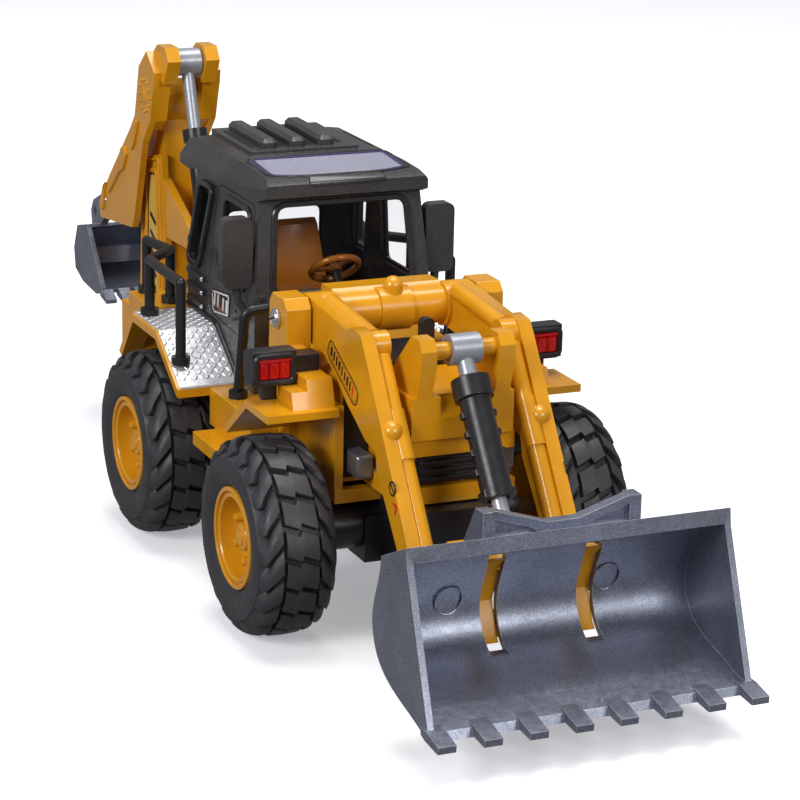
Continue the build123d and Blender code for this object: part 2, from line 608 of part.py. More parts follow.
STICK_SIDE = [(139.4, 116.6), (138.8, 120.2), (146, 125.6), (153, 120), (157, 104.6), (161.4, 99.8),
              (182, 81.2), (193, 70.2), (191.4, 65.8), (160, 69.4), (157.6, 74), (149.4, 98), (143, 105)]

STICK_HEAD = [(139.4, 116.6), (138.8, 120.2), (146, 125.6), (153, 120), (157, 104.6), (159, 102.2),
              (147.4, 101.6), (143, 105)]


def stick():
    """Yellow digging arm: channel open to the boom, head with two ears."""
    cheek = plate(STICK_SIDE, 8.3, 10.3)
    head = plate(STICK_HEAD, 5.0, 8.3)
    ear = plate([(133, 124.2), (136, 128), (142.6, 128), (147, 124.8), (146, 119.6), (137, 117)], 3.9, 8.0)
    web = plate([(159.6, 99), (161.4, 99.8), (180.4, 82.6), (179.2, 81.2)], -8.4, 8.4)
    bridge = plate([(146, 121.6), (146, 125.6), (153, 120), (152, 118.4)], -5.2, 5.2)
    solid = both_sides(cheek + head + ear) + web + bridge
    solid -= bar_x(STICK_HINGE, AXLE_R, -12, 12)
    solid -= bar_x(DIG_HINGE, 1.6, -12, 12)
    return about_boom(solid)


def stick_pins():
    """Steel pins at both ends of the digging arm."""
    upper = bar_x(STICK_HINGE, AXLE_R, -10.6, 10.6)
    lower = bar_x(DIG_HINGE, 1.6, -10.6, 10.6)
    return [about_boom(upper), about_boom(lower)]


def stick_cylinder_low():
    """Point of the stick cylinder's low pivot."""
    return (0, *STICK_CYL_LOW)


def along_stick_cylinder(distance):
    """Point (0, y, z) on the stick cylinder's line, from its low pivot."""
    run = Vector(0, ROD_EYE[0] - STICK_CYL_LOW[0], ROD_EYE[1] - STICK_CYL_LOW[1]).normalized()
    return tuple(Vector(*stick_cylinder_low()) + run * distance)


def stick_cylinder_barrel():
    """Black barrel with a collar, pinned to the boom's bracket."""
    barrel = bar_between(along_stick_cylinder(2), along_stick_cylinder(31.5), 2.75)
    barrel += bar_between(along_stick_cylinder(28.5), along_stick_cylinder(32.2), 3.6)
    barrel -= bar_between(along_stick_cylinder(5), along_stick_cylinder(34), 1.85 + RUN)
    eye = bar_x(STICK_CYL_LOW, 2.8, -2.8, 2.8)
    return about_boom(barrel + eye + bar_x(STICK_CYL_LOW, 1.5, -5.6, 5.6))


def stick_cylinder_rod():
    """Grey rod whose eye sits between the ears of the digging arm."""
    rod = bar_between(along_stick_cylinder(19), along_stick_cylinder(50), 1.85)
    return about_boom(rod + bar_x(ROD_EYE, 4.0, -3.5, 3.5))


DIG_BACK = [(198.6, 61.9), (209.1, 59.4), (212.9, 51.4), (211.6, 44.8), (203.4, 42.2), (190, 41.4),
            (184.2, 42.8)]
DIG_INNER = [(195, 64), (199.2, 60.2), (208.2, 57.9), (211.3, 51), (210.2, 46), (203, 43.8),
             (190.2, 43), (180, 44.6)]


def rear_bucket():
    """Grey digging bucket with five teeth and two hinge ears."""
    solid = plate(DIG_BACK + [(183.8, 44.6), (198, 60.8)], -DIG_HALF, DIG_HALF)
    solid -= plate(DIG_INNER, -DIG_HALF + 1.3, DIG_HALF - 1.3)
    tooth = plate([(186, 41.6), (179.6, 40.6), (179.2, 42), (184, 44.2), (186.5, 43.4)], -1.7, 1.7)
    for i in range(5):
        solid += Pos((i - 2) * 5.35, 0, 0) * tooth
    ear = plate([(183.6, 71.4), (185, 75), (189.4, 75.4), (207, 67.8), (209.4, 64), (208.4, 59.4),
                 (199.4, 61.6), (190, 68.2)], 5.4, 7.8)
    ear -= bar_x((205, 64.4), 1.5, 4, 9)
    solid += both_sides(ear)
    return about_boom(solid - bar_x(DIG_HINGE, 1.6 + RUN, -12, 12))


# ---- assembly -----------------------------------------------------------------
def all_nodes():
    """Every node's solid or solids, in the drawing datum."""
    nodes = {
        "chassis_frame": chassis_frame(), "rear_deck": rear_deck(), "step_deck": step_deck(),
        "front_fenders": front_fenders(), "nose_housing": nose_housing(),
        "radiator_grille": radiator_grille(), "hood_cover": hood_cover(),
        "loader_uprights": loader_uprights(), "loader_hinge_pins": loader_hinge_pins(),
        "cab_shell": cab_shell(), "cab_roof": cab_roof(), "skylight": skylight(),
        "windshield": windshield(), "rear_window": rear_window(), "side_windows": side_windows(),
        "seat": seat(), "dashboard": dashboard(), "steering_wheel": steering_wheel(),
        "mirrors": mirrors(), "front_handrails": front_handrails(),
        "rear_handrails": rear_handrails(), "deck_plates": deck_plates(),
        "work_lamps": work_lamps(), "lamp_lenses": lamp_lenses(), "headlamps": headlamps(),
        "rear_frame": rear_frame(), "slide_rails": slide_rails(),
        "left_loader_arm": loader_arm(1), "right_loader_arm": loader_arm(-1),
        "torque_tube": torque_tube(), "arm_end_pins": arm_end_pins(),
        "front_bucket": front_bucket(), "bucket_coupler": bucket_coupler(),
        "tilt_bush": tilt_bush(), "tilt_cylinder_eye": tilt_cylinder_eye(),
        "tilt_cylinder_barrel": tilt_cylinder_barrel(), "tilt_sleeve": tilt_sleeve(),
        "tilt_cylinder_rod": tilt_cylinder_rod(),
        "left_leg": stabiliser_leg(1), "right_leg": stabiliser_leg(-1),
        "shift_carriage": shift_carriage(), "kingpin": kingpin(), "swing_frame": swing_frame(),
        "boom_pin": boom_pin(), "boom": boom(), "stick": stick(), "stick_pins": stick_pins(),
        "stick_cylinder_barrel": stick_cylinder_barrel(), "stick_cylinder_rod": stick_cylinder_rod(),
        "rear_bucket": rear_bucket(),
    }
    for end, y in (("front", 0.0), ("rear", WHEELBASE)):
        for suffix, solid in wheel_set(y).items():
            nodes[f"{end}_{suffix}"] = solid
    return nodes


def as_solids(shape):
    """One compound of plain solids from a shape or a list of shapes."""
    shapes = shape if isinstance(shape, list) else [shape]
    solids = [solid for item in shapes for solid in item.solids()]
    return Compound(children=solids) if len(solids) > 1 else solids[0]


def main():
    """Writes one STEP file for each node."""
    os.makedirs("parts", exist_ok=True)
    for name, shape in all_nodes().items():
        export_step(Pos(0, Y_ORIGIN, 0) * as_solids(shape), f"parts/{name}.step")


main()
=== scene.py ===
"""Looks of the toy backhoe loader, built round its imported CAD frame.

Lengths are in millimetres until at() turns them into the row frame's metres.
x is to the machine's left, y is measured back from the front axle, z up from the ground.
"""
import json
import math

import bmesh
import bpy
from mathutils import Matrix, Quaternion, Vector


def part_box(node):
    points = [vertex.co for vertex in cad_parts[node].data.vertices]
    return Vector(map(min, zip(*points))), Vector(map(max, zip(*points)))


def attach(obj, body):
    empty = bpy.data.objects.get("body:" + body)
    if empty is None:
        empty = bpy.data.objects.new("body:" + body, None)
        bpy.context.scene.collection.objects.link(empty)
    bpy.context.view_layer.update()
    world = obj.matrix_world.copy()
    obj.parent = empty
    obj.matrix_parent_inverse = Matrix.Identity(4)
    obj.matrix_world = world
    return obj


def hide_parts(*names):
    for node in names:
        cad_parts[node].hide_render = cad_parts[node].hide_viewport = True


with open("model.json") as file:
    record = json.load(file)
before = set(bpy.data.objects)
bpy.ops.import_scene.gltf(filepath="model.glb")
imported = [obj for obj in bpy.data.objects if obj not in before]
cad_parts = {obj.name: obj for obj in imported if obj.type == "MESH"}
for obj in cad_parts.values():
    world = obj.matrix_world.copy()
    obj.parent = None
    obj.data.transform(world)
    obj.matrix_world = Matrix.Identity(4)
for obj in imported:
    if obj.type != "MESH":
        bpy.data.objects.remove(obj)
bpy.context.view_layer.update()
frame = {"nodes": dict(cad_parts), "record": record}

MM = 0.001
FRONT_AXLE_Y = sum(corner.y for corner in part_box("front_axle")) / 2
BODIES = frame["record"]["behaviour"]["bodies"]
BODY_OF = {node: body for body, nodes in BODIES.items() for node in nodes}
SLOT_OF = {part["node"]: part["material_slot"] for part in frame["record"]["subparts"]}
LEFT, RIGHT = 1, -1


def at(x, y, z):
    """A place in millimetres from the front axle's foot, in the row frame."""
    return Vector((x * MM, FRONT_AXLE_Y + y * MM, z * MM))


# ---- materials ----------------------------------------------------------------
def srgb(red, green, blue):
    """A screen colour, 0 to 255, as the linear colour that shaders use."""
    def linear(value):
        value /= 255
        return value / 12.92 if value <= 0.04045 else ((value + 0.055) / 1.055) ** 2.4
    return (linear(red), linear(green), linear(blue), 1.0)


def shader(name):
    """A new node material and its Principled shader."""
    material = bpy.data.materials.new(name)
    material.use_nodes = True
    return material, material.node_tree, material.node_tree.nodes["Principled BSDF"]


def add_noise(tree, scale, detail=2.0, roughness=0.5):
    """Noise in the row frame, with scale in features per metre."""
    place = tree.nodes.new("ShaderNodeTexCoord")
    noise = tree.nodes.new("ShaderNodeTexNoise")
    noise.inputs["Scale"].default_value = scale
    noise.inputs["Detail"].default_value = detail
    noise.inputs["Roughness"].default_value = roughness
    tree.links.new(place.outputs["Object"], noise.inputs["Vector"])
    return noise.outputs["Fac"]


def ramp(tree, fac, stops):
    """A colour ramp driven by fac, from (position, colour) stops."""
    node = tree.nodes.new("ShaderNodeValToRGB")
    elements = node.color_ramp.elements
    while len(elements) < len(stops):
        elements.new(0.5)
    for element, (position, colour) in zip(elements, stops):
        element.position = position
        element.color = colour
    tree.links.new(fac, node.inputs["Fac"])
    return node.outputs["Color"]


def spread(tree, fac, low, high, start=0.3, end=0.7):
    """fac from start to end, mapped to low to high."""
    node = tree.nodes.new("ShaderNodeMapRange")
    node.inputs["From Min"].default_value = start
    node.inputs["From Max"].default_value = end
    node.inputs["To Min"].default_value = low
    node.inputs["To Max"].default_value = high
    tree.links.new(fac, node.inputs["Value"])
    return node.outputs["Result"]


def add_bump(tree, principled, height, strength, distance):
    """Fine relief from a height value."""
    bump = tree.nodes.new("ShaderNodeBump")
    bump.inputs["Strength"].default_value = strength
    bump.inputs["Distance"].default_value = distance
    tree.links.new(height, bump.inputs["Height"])
    tree.links.new(bump.outputs["Normal"], principled.inputs["Normal"])


def shade(colour, factor):
    """colour made lighter or darker."""
    return tuple(min(1.0, channel * factor) for channel in colour[:3]) + (1.0,)


def moulded(name, colour, rough, coat=0.0, mottle=0.06, grain=0.12, grain_scale=2600, shine=0.4):
    """Injection-moulded plastic: faint flow mottling, uneven gloss, fine grain."""
    material, tree, principled = shader(name)
    flow = add_noise(tree, 90, 3)
    tint = ramp(tree, flow, [(0.3, shade(colour, 1 - mottle)), (0.7, shade(colour, 1 + mottle))])
    tree.links.new(tint, principled.inputs["Base Color"])
    gloss = spread(tree, add_noise(tree, 420, 3), rough * 0.85, rough * 1.2)
    tree.links.new(gloss, principled.inputs["Roughness"])
    principled.inputs["Specular IOR Level"].default_value = shine
    principled.inputs["Coat Weight"].default_value = coat
    principled.inputs["Coat Roughness"].default_value = 0.12
    add_bump(tree, principled, add_noise(tree, grain_scale, 2), grain, 0.00003)
    return material


def flaked(name, colour, fleck, rough, metallic, share=0.34, scale=3200):
    """Paint or plastic with fine bright flakes in it."""
    material, tree, principled = shader(name)
    speck = ramp(tree, add_noise(tree, scale, 4, 0.75), [(share, colour), (share + 0.42, fleck)])
    cloud = spread(tree, add_noise(tree, 70, 3), 0.86, 1.12)
    mixed = tree.nodes.new("ShaderNodeVectorMath")
    mixed.operation = "SCALE"
    tree.links.new(speck, mixed.inputs[0])
    tree.links.new(cloud, mixed.inputs["Scale"])
    tree.links.new(mixed.outputs["Vector"], principled.inputs["Base Color"])
    gloss = spread(tree, add_noise(tree, 500, 3), rough * 0.85, rough * 1.15)
    tree.links.new(gloss, principled.inputs["Roughness"])
    principled.inputs["Metallic"].default_value = metallic
    add_bump(tree, principled, add_noise(tree, scale * 0.6, 3), 0.35, 0.00004)
    return material


def clear(name, colour, rough, alpha):
    """Thin clear plastic that lets most light straight through."""
    material, tree, principled = shader(name)
    principled.inputs["Base Color"].default_value = colour
    principled.inputs["Specular IOR Level"].default_value = 0.6
    principled.inputs["Roughness"].default_value = rough
    principled.inputs["Alpha"].default_value = alpha
    add_bump(tree, principled, add_noise(tree, 160, 2), 0.08, 0.0002)
    return material


def lens_red():
    """Red moulded lens with a faint painted glow."""
    material = moulded("red_lens", srgb(170, 4, 8), 0.12, coat=0.6, mottle=0.2)
    principled = material.node_tree.nodes["Principled BSDF"]
    # Painted glow: the unlit lens is given a little red emission.
    principled.inputs["Emission Color"].default_value = srgb(220, 10, 10)
    principled.inputs["Emission Strength"].default_value = 0.08
    return material


YELLOW = (0.66, 0.29, 0.007, 1.0)
MATERIALS = {
    "yellow_plastic": moulded("yellow_plastic", YELLOW, 0.22, coat=0.2, mottle=0.07, shine=0.5),
    "black_plastic": moulded("black_plastic", srgb(34, 33, 36), 0.32),
    "cab_plastic": flaked("cab_plastic", srgb(44, 44, 46), srgb(92, 92, 94), 0.3, 0.3),
    "bucket_metal": flaked("bucket_metal", srgb(92, 98, 114), srgb(176, 180, 194), 0.38, 0.85, share=0.3),
    "silver_plastic": flaked("silver_plastic", srgb(140, 144, 152), srgb(182, 184, 190), 0.34, 0.35),
    "steel": flaked("steel", srgb(196, 196, 198), srgb(222, 222, 224), 0.25, 0.9),
    "tyre_rubber": moulded("tyre_rubber", srgb(52, 51, 55), 0.5, mottle=0.12, grain=0.4, grain_scale=1500),
    "window_plastic": clear("window_plastic", srgb(20, 22, 30), 0.04, 0.1),
    "red_lens": lens_red(),
    "seat_plastic": moulded("seat_plastic", srgb(176, 104, 26), 0.16, coat=0.5, mottle=0.16),
    "bright_plate": flaked("bright_plate", srgb(212, 214, 218), srgb(228, 229, 232), 0.3, 0.55, scale=900),
    "skylight_plastic": moulded("skylight_plastic", srgb(150, 150, 168), 0.14, coat=0.5, mottle=0.05),
}
EXTRAS = {
    "bucket_edge": flaked("bucket_edge", srgb(206, 210, 220), srgb(236, 238, 242), 0.3, 0.3),
    "mirror_glass": flaked("mirror_glass", srgb(214, 218, 224), srgb(224, 228, 232), 0.05, 1.0),
    # Near-black for the real door seams, and painted shade in the roof gaps, roof slots and hinge-pin slots.
    "seam_and_shade_black": moulded("seam_and_shade_black", srgb(9, 9, 10), 0.6),
    "frame_black": flaked("frame_black", srgb(48, 47, 48), srgb(120, 118, 116), 0.22, 0.4, share=0.5),
    "decal_black": moulded("decal_black", srgb(30, 26, 24), 0.3),
    "decal_pale": moulded("decal_pale", srgb(214, 178, 78), 0.3),
    "decal_white": moulded("decal_white", srgb(232, 232, 232), 0.35),
    "decal_red": moulded("decal_red", srgb(206, 44, 24), 0.35),
    "skylight_edge": moulded("skylight_edge", srgb(58, 48, 96), 0.25),
}


# ---- mesh helpers ---------------------------------------------------------------
SMOOTH_ANGLE = 35                                  # degrees; sharper edges stay sharp
BEVEL_ANGLE = 32                                   # degrees; sharper edges are rounded
BEVEL_SEGMENTS = 2
NO_EDGE_MATERIAL, EDGE_MATERIAL = -1, 1            # material places that a bevel takes
WELD_DISTANCE = 2e-6                               # metres
FLAT_ANGLE = 0.5                                   # degrees between faces that count as one


def mesh_piece(name, points, faces, body, slot, material=None, smooth_angle=SMOOTH_ANGLE):
    """A mesh from row-frame points that rides on a body."""
    mesh = bpy.data.meshes.new(name)
    mesh.from_pydata([tuple(p) for p in points], [], faces)
    return finish_piece(name, mesh, body, slot, material, smooth_angle)


def finish_piece(name, mesh, body, slot, material=None, smooth_angle=SMOOTH_ANGLE):
    """Cleans a mesh, sets its sharp edges and material, and puts it on a body."""
    work = bmesh.new()
    work.from_mesh(mesh)
    bmesh.ops.recalc_face_normals(work, faces=work.faces)
    limit = math.radians(smooth_angle)
    for edge in work.edges:
        edge.smooth = len(edge.link_faces) == 2 and edge.calc_face_angle(0.0) < limit
    for face in work.faces:
        face.smooth = True
    work.to_mesh(mesh)
    work.free()
    piece = bpy.data.objects.new(name, mesh)
    bpy.context.scene.collection.objects.link(piece)
    mesh.materials.append(material or MATERIALS[slot])
    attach(piece, body)
    return piece


def round_edges(piece, width, material_place):
    """Rounds a piece's sharp edges by width millimetres."""
    bevel = piece.modifiers.new("round_edges", "BEVEL")
    bevel.width = width * MM
    bevel.segments = BEVEL_SEGMENTS
    bevel.limit_method = "ANGLE"
    bevel.angle_limit = math.radians(BEVEL_ANGLE)
    bevel.harden_normals = True
    bevel.material = material_place


def polished(node, width, edge_material=None):
    """Replaces a CAD node with a copy that has rounded edges, in a second material if one is named."""
    mesh = frame["nodes"][node].data.copy()
    mesh.materials.clear()
    work = bmesh.new()
    work.from_mesh(mesh)
    bmesh.ops.remove_doubles(work, verts=work.verts, dist=WELD_DISTANCE)
    bmesh.ops.dissolve_limit(work, angle_limit=math.radians(FLAT_ANGLE), verts=work.verts, edges=work.edges)
    work.to_mesh(mesh)
    work.free()
    piece = finish_piece(node + "_rounded", mesh, BODY_OF[node], SLOT_OF[node])
    if edge_material:
        mesh.materials.append(EXTRAS[edge_material])
    round_edges(piece, width, EDGE_MATERIAL if edge_material else NO_EDGE_MATERIAL)
    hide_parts(node)


def spun(profile, centre, side, steps):
    """Points and faces of a profile of (x, radius) turned about an X axis through centre."""
    points, faces = [], []
    count = len(profile)
    for i in range(steps):
        angle = math.tau * i / steps
        for x, radius in profile:
            turned = Vector((side * x, radius * math.cos(angle), radius * math.sin(angle)))
            points.append(centre + MM * turned)
    for i in range(steps):
        a, b = i * count, (i + 1) % steps * count
        faces += [(a + j, a + j + 1, b + j + 1, b + j) for j in range(count - 1)]
    return points, faces


def smooth_line(points, per_span):
    """A Catmull-Rom line through 2-D points."""
    ends = [points[0]] + list(points) + [points[-1]]
    line = []
    for k in range(len(points) - 1):
        a, b, c, d = (Vector(p) for p in ends[k:k + 4])
        for j in range(per_span):
            t = j / per_span
            line.append(0.5 * (2 * b + (c - a) * t + (2 * a - 5 * b + 4 * c - d) * t ** 2
                               + (3 * b - a - 3 * c + d) * t ** 3))
    return line + [Vector(points[-1])]


def signed_area(loop):
    """Area of a closed 2-D loop, positive when it runs anticlockwise."""
    return sum(a[0] * b[1] - b[0] * a[1] for a, b in zip(loop, list(loop[1:]) + [loop[0]])) / 2


def grown(loop, distance):
    """A closed 2-D loop moved outwards by distance."""
    turn = 1 if signed_area(loop) > 0 else -1
    count = len(loop)
    moved = []
    for i in range(count):
        before, here, after = (Vector(loop[k % count]) for k in (i - 1, i, i + 1))
        one, two = (here - before).normalized(), (after - here).normalized()
        normal = Vector((one.y + two.y, -one.x - two.x)).normalized() * turn
        share = max(0.5, normal.dot(Vector((one.y, -one.x))) * turn)
        moved.append(here + normal * distance / share)
    return moved


def rounded(corners, radius, steps=5):
    """A closed 2-D loop with its corners rounded."""
    loop = []
    count = len(corners)
    for i in range(count):
        before, here, after = (Vector(corners[k % count]) for k in (i - 1, i, i + 1))
        back, ahead = before - here, after - here
        start = here + back.normalized() * min(radius, back.length * 0.46)
        end = here + ahead.normalized() * min(radius, ahead.length * 0.46)
        for k in range(steps + 1):
            t = k / steps
            loop.append((1 - t) ** 2 * start + 2 * t * (1 - t) * here + t * t * end)
    return loop


def circle(u, v, radius, steps=20):
    """A round 2-D loop."""
    return [Vector((u + radius * math.cos(math.tau * k / steps), v + radius * math.sin(math.tau * k / steps)))
            for k in range(steps)]


def rectangle(u0, v0, u1, v1):
    """An upright 2-D loop between two opposite corners."""
    return [(u0, v0), (u1, v0), (u1, v1), (u0, v1)]


def strip(start, end, width):
    """A straight 2-D bar between two points."""
    start, end = Vector(start), Vector(end)
    run = (end - start).normalized()
    across = Vector((-run.y, run.x)) * width / 2
    return [start - across, end - across, end + across, start + across]


class Shape:
    """Points and faces gathered for one piece."""

    def __init__(self):
        self.points = []
        self.faces = []

    def loft(self, rings, round_again=False, open_rings=False, caps=False):
        """Skin over rings with equally many points."""
        first, count = len(self.points), len(rings[0])
        self.points += [point for ring in rings for point in ring]
        for k in range(len(rings) if round_again else len(rings) - 1):
            a, b = first + k * count, first + (k + 1) % len(rings) * count
            for i in range(count - 1 if open_rings else count):
                j = (i + 1) % count
                self.faces.append((a + i, a + j, b + j, b + i))
        if caps:
            self.faces.append(tuple(range(first, first + count)))
            self.faces.append(tuple(range(first + (len(rings) - 1) * count, first + len(rings) * count)))

    def slab(self, loop, place, low, high, ease=0.12):
        """A raised panel on a 2-D loop with an eased top edge."""
        rings = [(loop, low), (loop, high - ease), (grown(loop, -ease), high)]
        self.loft([[place(u, v, h) for u, v in ring] for ring, h in rings], caps=True)

    def border(self, inner, width, place, low, high, ease=0.2):
        """A raised border round a 2-D loop."""
        rings = [(grown(inner, width), low), (grown(inner, width), high - ease),
                 (grown(inner, width - ease), high), (grown(inner, ease), high), (inner, high - ease),
                 (inner, low)]
        self.loft([[place(u, v, h) for u, v in ring] for ring, h in rings], round_again=True)

    def dome(self, u, v, radius, place, low, high):
        """A round button."""
        rings = [(1, low), (1, low + (high - low) * 0.35), (0.86, low + (high - low) * 0.72),
                 (0.5, low + (high - low) * 0.95), (0.12, high)]
        self.loft([[place(a, b, h) for a, b in circle(u, v, radius * share, 14)] for share, h in rings],
                  caps=True)

    def tube(self, path, radius, steps=10):
        """A round bar along row-frame points."""
        rings = []
        for k, here in enumerate(path):
            ahead = (path[min(k + 1, len(path) - 1)] - path[max(k - 1, 0)]).normalized()
            across = ahead.cross(Vector((1, 0, 0))).normalized()
            up = across.cross(ahead)
            rings.append([here + MM * radius * (math.cos(math.tau * i / steps) * across
                                                + math.sin(math.tau * i / steps) * up)
                          for i in range(steps)])
        self.loft(rings, caps=True)

    def build(self, name, body, slot, material=None, smooth_angle=SMOOTH_ANGLE):
        """The piece, riding on its body."""
        return mesh_piece(name, self.points, self.faces, body, slot, material, smooth_angle)


# ---- wheels ---------------------------------------------------------------------
TYRE_PROFILE = [(0, 26.0), (4.2, 25.75), (7.4, 25.0), (9.3, 23.6), (10.3, 21.6), (10.7, 19.2), (10.6, 16.8),
                (10.0, 14.8), (9.2, 13.5)]
TREAD_DEPTH = 1.9
LUGS = 20
LUG_END = 0.5                                      # share of the profile that lugs cover
SHOULDER_START = 0.16                              # share where the shoulder lugs begin
BLOCK_END = 0.125                                  # share that the middle blocks cover
SHOULDER_LENGTH, BLOCK_LENGTH = 0.86, 0.74         # lengths round the tyre, in lug pitches
INNER_SHIFT, BLOCK_SHIFT = 0.3, -0.1               # turns against the outer lugs, in lug pitches
SHOULDER_RAMP, BLOCK_RAMP = TREAD_DEPTH * 0.8, 0.35
TYRE_STEPS = 120


class TyreSurface:
    """Outer surface of one tyre, with u from 0 at the middle to 1 at the bead."""

    def __init__(self, centre, side):
        self.centre = centre
        self.side = side
        self.line = smooth_line(TYRE_PROFILE, 8)

    def point(self, u, angle, depth):
        """Place at share u (negative on the inner side), sunk by depth millimetres."""
        reach = abs(u) * (len(self.line) - 1)
        k = min(int(reach), len(self.line) - 2)
        here = self.line[k].lerp(self.line[k + 1], reach - k)
        run = (self.line[k + 1] - self.line[k]).normalized()
        inward = Vector((run.y, -run.x))
        x, radius = here + inward * depth
        x *= self.side * (1 if u >= 0 else -1)
        return self.centre + MM * Vector((x, radius * math.cos(angle), radius * math.sin(angle)))


def tread_depth(u):
    """How far the tyre's carcass lies under the lug tops."""
    over = max(0.0, min(1.0, (LUG_END + 0.02 - abs(u)) / 0.1))
    return TREAD_DEPTH * over


def add_lug(surface, u_range, low_edge, high_edge, ramp_depth, shape):
    """One tread block between two curved edges; its low side starts ramp_depth down, like a scale."""
    rows, columns = 10, 6
    start, end = u_range
    outward = (end - start) / abs(end - start)

    def place(i, j, du, da, depth):
        s, t = i / rows, j / columns
        low, high = low_edge(s), high_edge(s)
        sunk = ramp_depth * max(0.0, 1 - t / 0.6) ** 1.4
        return surface.point(start + (end - start) * s + du * outward, low + (high - low) * t + da,
                             sunk + depth)

    width = columns + 1
    first = len(shape.points)
    shape.points += [place(i, j, 0, 0, 0) for i in range(rows + 1) for j in range(width)]
    for i in range(rows):
        for j in range(columns):
            a = first + i * width + j
            shape.faces.append((a, a + 1, a + width + 1, a + width))
    border = [(0, j) for j in range(columns)] + [(i, columns) for i in range(rows)]
    border += [(rows, j) for j in range(columns, 0, -1)] + [(i, 0) for i in range(rows, 0, -1)]
    previous = [first + i * width + j for i, j in border]
    for grow, depth in ((0.006, 0.16), (0.012, TREAD_DEPTH + 0.3)):
        ring = []
        for i, j in border:
            du = grow * 0.6 * ((i == rows) - (i == 0))
            da = grow * ((j == columns) - (j == 0))
            ring.append(len(shape.points))
            shape.points.append(place(i, j, du, da, depth))
        for k in range(len(ring)):
            n = (k + 1) % len(ring)
            shape.faces.append((previous[k], previous[n], ring[n], ring[k]))
        previous = ring


def shoulder_edge(s):
    """Lower edge of a shoulder lug: flat at the outer end, then rising to the middle of the tread."""
    return 0.03 * math.sin(math.pi * min(1.0, s / 0.6)) - 0.2 * max(0.0, s - 0.3) ** 1.5 / 0.7 ** 1.5


def block_edge(s):
    """Stepped, slanting edge of a middle block."""
    return 0.15 * s - 0.075 * max(0.0, min(1.0, (s - 0.42) / 0.05))


def tyre(node, side):
    """Black tyre with scale-shaped shoulder lugs and stepped middle blocks."""
    low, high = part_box(node)
    surface = TyreSurface((low + high) / 2, side)
    shares = [k / 32 for k in range(-32, 33)]
    shape = Shape()
    shape.loft([[surface.point(u, math.tau * i / TYRE_STEPS, tread_depth(u)) for u in shares]
                for i in range(TYRE_STEPS)], round_again=True, open_rings=True)
    pitch = math.tau / LUGS
    for i in range(LUGS):
        for flank, shift in ((1, 0.0), (-1, INNER_SHIFT)):
            begin = (i + shift) * pitch
            add_lug(surface, (flank * LUG_END, flank * SHOULDER_START),
                    lambda s, b=begin: b + shoulder_edge(s),
                    lambda s, b=begin: b + shoulder_edge(s) + pitch * SHOULDER_LENGTH, SHOULDER_RAMP, shape)
        begin = (i + BLOCK_SHIFT) * pitch
        add_lug(surface, (BLOCK_END, -BLOCK_END), lambda s, b=begin: b + block_edge(s),
                lambda s, b=begin: b + block_edge(s) + pitch * BLOCK_LENGTH, BLOCK_RAMP, shape)
    piece = shape.build(node + "_treaded", BODY_OF[node], "tyre_rubber", smooth_angle=28)
    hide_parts(node)


RIM_PROFILE = [(-9.4, 12.6), (-9.0, 13.3), (-8.2, 13.3), (-7.8, 12.4), (8.3, 12.9), (9.2, 13.36),
               (9.75, 13.25), (9.95, 12.9), (9.95, 12.35), (9.7, 12.1), (8.9, 12.0), (8.8, 11.75),
               (9.3, 11.5), (9.5, 11.1), (9.45, 10.7), (9.1, 10.4), (7.6, 10.25), (5.2, 9.9), (4.2, 9.4),
               (3.8, 8.7), (3.7, 6.0), (3.7, 4.3), (4.2, 4.0), (6.6, 3.7), (7.2, 3.3), (7.4, 2.2),
               (7.8, 2.0), (8.0, 0.02)]
NUT_PROFILE = [(3.4, 1.4), (6.3, 1.25), (6.9, 0.95), (7.1, 0.02)]
NUTS, NUT_CIRCLE = 6, 6.7


def rim(node, side):
    """Yellow dished rim with a double lip, a hub and round nuts."""
    low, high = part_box(node.replace("rim", "tyre"))
    centre = (low + high) / 2
    points, faces = spun(RIM_PROFILE, centre, side, 72)
    for i in range(NUTS):
        angle = math.tau * (i + 0.5) / NUTS
        place = centre + MM * NUT_CIRCLE * Vector((0, math.cos(angle), math.sin(angle)))
        more, rings = spun(NUT_PROFILE, place, side, 14)
        faces += [tuple(k + len(points) for k in face) for face in rings]
        points += more
    piece = mesh_piece(node + "_dished", points, faces, BODY_OF[node], "yellow_plastic", smooth_angle=30)
    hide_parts(node)


# ---- where details lie --------------------------------------------------------------
CAB_SIDE_X, CAB_FRONT_Y, CAB_REAR_Y = 26.0, 50.5, 104.5
WAIST_Z, SCREEN_FOOT_Z = 70.0, 73.0
SIDE_LEAN, FRONT_LEAN, REAR_LEAN = 2.6 / 31, 3.4 / 27, 1.2 / 30       # inwards, for each millimetre up
LAMP_FRONT_Y, HOOD_FRONT_Y, MIRROR_REAR_Y = 4.8, -1.4, 57.5
UPRIGHT_SIDE_X, ARM_SIDE_X = 31.3, 23.4
BOOM_X, BOOM_HALF, STICK_HALF = -14.0, 6.0, 10.3


def on_side(x, side):
    """Heights stand outwards from a flat side at x; loops are (y, z)."""
    return lambda y, z, h: at(side * (x + h), y, z)


def on_cab_side(side):
    """Heights stand outwards from the cab's side, which leans in above its waist."""
    return lambda y, z, h: at(side * (CAB_SIDE_X - max(0.0, z - WAIST_Z) * SIDE_LEAN + h), y, z)


def on_cab_front(x, z, h):
    """Heights stand forwards from the cab's front."""
    return at(x, CAB_FRONT_Y + max(0.0, z - SCREEN_FOOT_Z) * FRONT_LEAN - h, z)


def on_cab_rear(x, z, h):
    """Heights stand backwards from the cab's rear."""
    return at(x, CAB_REAR_Y - max(0.0, z - WAIST_Z) * REAR_LEAN + h, z)


def facing_front(y, side):
    """Heights stand forwards from a face at y; loops are (outwards, z)."""
    return lambda x, z, h: at(side * x, y - h, z)


def along(line, value):
    """Second coordinate of a polyline at a value of the first."""
    for (a, b), (c, d) in zip(line, line[1:]):
        if value <= c:
            return b + (d - b) * (value - a) / (c - a)
    return line[-1][1]


